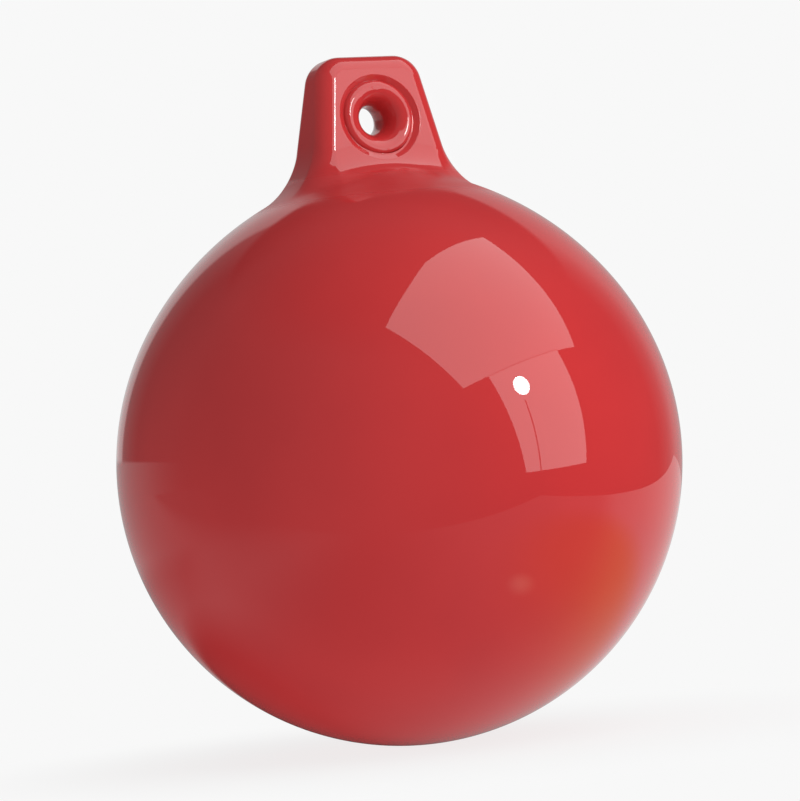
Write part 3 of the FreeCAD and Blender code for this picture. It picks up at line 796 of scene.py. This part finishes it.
# The rest of the room in the gloss: the ceiling, a darker part of it behind the float, and the table's level
# low on the left behind, with the parts of a direction over which each comes in.
CEILING = 0.17
CEILING_RISE = (0.6, 0.9)
CEILING_BEHIND = 0.08
BEHIND_RISE = (0.61, 0.66)
BEHIND_NEARNESS = (-0.6, -0.3)
LOW_RISE = (-0.005, 0.005)
LOW_NEARNESS = (-0.6, -0.05)
LOW_LEFT = (-0.1, 0.0)

# The even light for all that isn't gloss: the table's below the horizon, and above it one weaker on the left.
HORIZON = (-0.03, 0.03)
EVEN_ACROSS = (-0.5, 0.8)
EVEN_LEVELS = (0.27, 0.36)


def make_surroundings():
    """A dim studio: plain to the camera, bright and dark walls in the gloss, and an even light elsewhere."""
    world = bpy.data.worlds.new("room")
    bpy.context.scene.world = world
    world.use_nodes = True
    tree = world.node_tree
    tree.nodes.clear()
    direction = add(tree, "TexCoord").outputs["Generated"]
    to_studio = studio.inverted().to_euler()
    in_studio = add(tree, "Mapping", {"Vector": direction}, vector_type="POINT", Rotation=to_studio)
    parts = add(tree, "SeparateXYZ", {"Vector": in_studio}).outputs
    right, rise, near = parts["X"], parts["Y"], parts["Z"]

    compass = add(tree, "Math", {0: right, 1: near}, operation="ARCTAN2")
    share = add(tree, "MapRange", {"Value": compass}, From_Min=-math.pi, From_Max=math.pi)
    walls = add(tree, "ValToRGB", {"Fac": share})
    greys = [((angle + 180) / 360, (level, level, level, 1)) for angle, level in ROUND_THE_ROOM]
    set_stops(walls.color_ramp, greys)
    overhead = add(tree, "MapRange", {"Value": rise}, **smooth(CEILING_RISE, GROWING))
    under_roof = add(tree, "Mix", {"Factor": overhead, "A": walls, "B": CEILING}, data_type="FLOAT")
    high = add(tree, "MapRange", {"Value": rise}, **smooth(BEHIND_RISE, GROWING))
    far = add(tree, "MapRange", {"Value": near}, **smooth(BEHIND_NEARNESS, FADING))
    high_behind = add(tree, "Math", {0: high, 1: far}, operation="MULTIPLY")
    room = add(tree, "Mix", {"Factor": high_behind, "A": under_roof, "B": CEILING_BEHIND}, data_type="FLOAT")
    low = add(tree, "MapRange", {"Value": rise}, **smooth(LOW_RISE, FADING))
    behind = add(tree, "MapRange", {"Value": near}, **smooth(LOW_NEARNESS, FADING))
    low_behind = add(tree, "Math", {0: low, 1: behind}, operation="MULTIPLY")
    on_left = add(tree, "MapRange", {"Value": right}, **smooth(LOW_LEFT, FADING))
    low_left = add(tree, "Math", {0: low_behind, 1: on_left}, operation="MULTIPLY")
    mirrored = add(tree, "Mix", {"Factor": low_left, "A": room, "B": TABLE_LIGHT_LEFT}, data_type="FLOAT")

    up = add(tree, "SeparateXYZ", {"Vector": direction}).outputs["Z"]
    above = add(tree, "MapRange", {"Value": up}, **smooth(HORIZON, GROWING))
    room_light = add(tree, "MapRange", {"Value": right}, **smooth(EVEN_ACROSS, EVEN_LEVELS))
    even = add(tree, "Mix", {"Factor": above, "A": BOUNCE, "B": room_light}, data_type="FLOAT")
    ray = add(tree, "LightPath").outputs
    strength = add(tree, "Mix", {"Factor": ray["Is Glossy Ray"], "A": even, "B": mirrored}, data_type="FLOAT")
    glow = add(tree, "Background", {"Strength": strength}, Color=linear("#FFFFFF"))
    plain = add(tree, "Background", Color=PALE, Strength=1.0)
    surface = add(tree, "MixShader", {0: ray["Is Camera Ray"], 1: glow, 2: plain})
    add(tree, "OutputWorld", {"Surface": surface})


bpy.context.scene.view_settings.view_transform = "Standard"
pvc = moulded_pvc()
ball = make_ball(pvc)
lug = make_lug(pvc)
lining = make_eye_lining(pvc)
make_valve_body(valve_rubber())
make_valve_plug(valve_nylon())

make_floor()
make_surroundings()

# The panels: a centre and the two edges of each, along the camera's right, up and towards it.
OVERHEAD_CROWN = (0.05, -0.56)
SIDE_ALONG = (0.404, 0.102, -0.714)
softbox(
    "overhead_softbox", (0.599, 1.052, 0.464), (0.639, 0.087, -1.343), (0.812, -0.439, 0.432),
    strength=2.3, crown=OVERHEAD_CROWN,
)
softbox("side_softbox", (1.233, 0.370, 0.666), SIDE_ALONG, (0.524, -0.844, 0.132), strength=2.6)
softbox(
    "softbox_seam", (1.101, 0.235, 0.797), (0.145, -0.638, -0.013), (0.006, 0.0015, -0.0105), strength=0.3
)
softbox("softbox_joint", (0.962, 0.785, 0.594), SIDE_ALONG, (0.0036, -0.0059, 0.0009), strength=1.3)

BULB_RADIUS = 0.0713
BULB_RADIANCE = 28
bulb("bulb", (0.874, 0.551, 0.680), BULB_RADIUS, BULB_RADIANCE, [ball])
bulb("lug_bulb", (0.713, 0.638, 0.806), BULB_RADIUS, BULB_RADIANCE, [lug, lining])
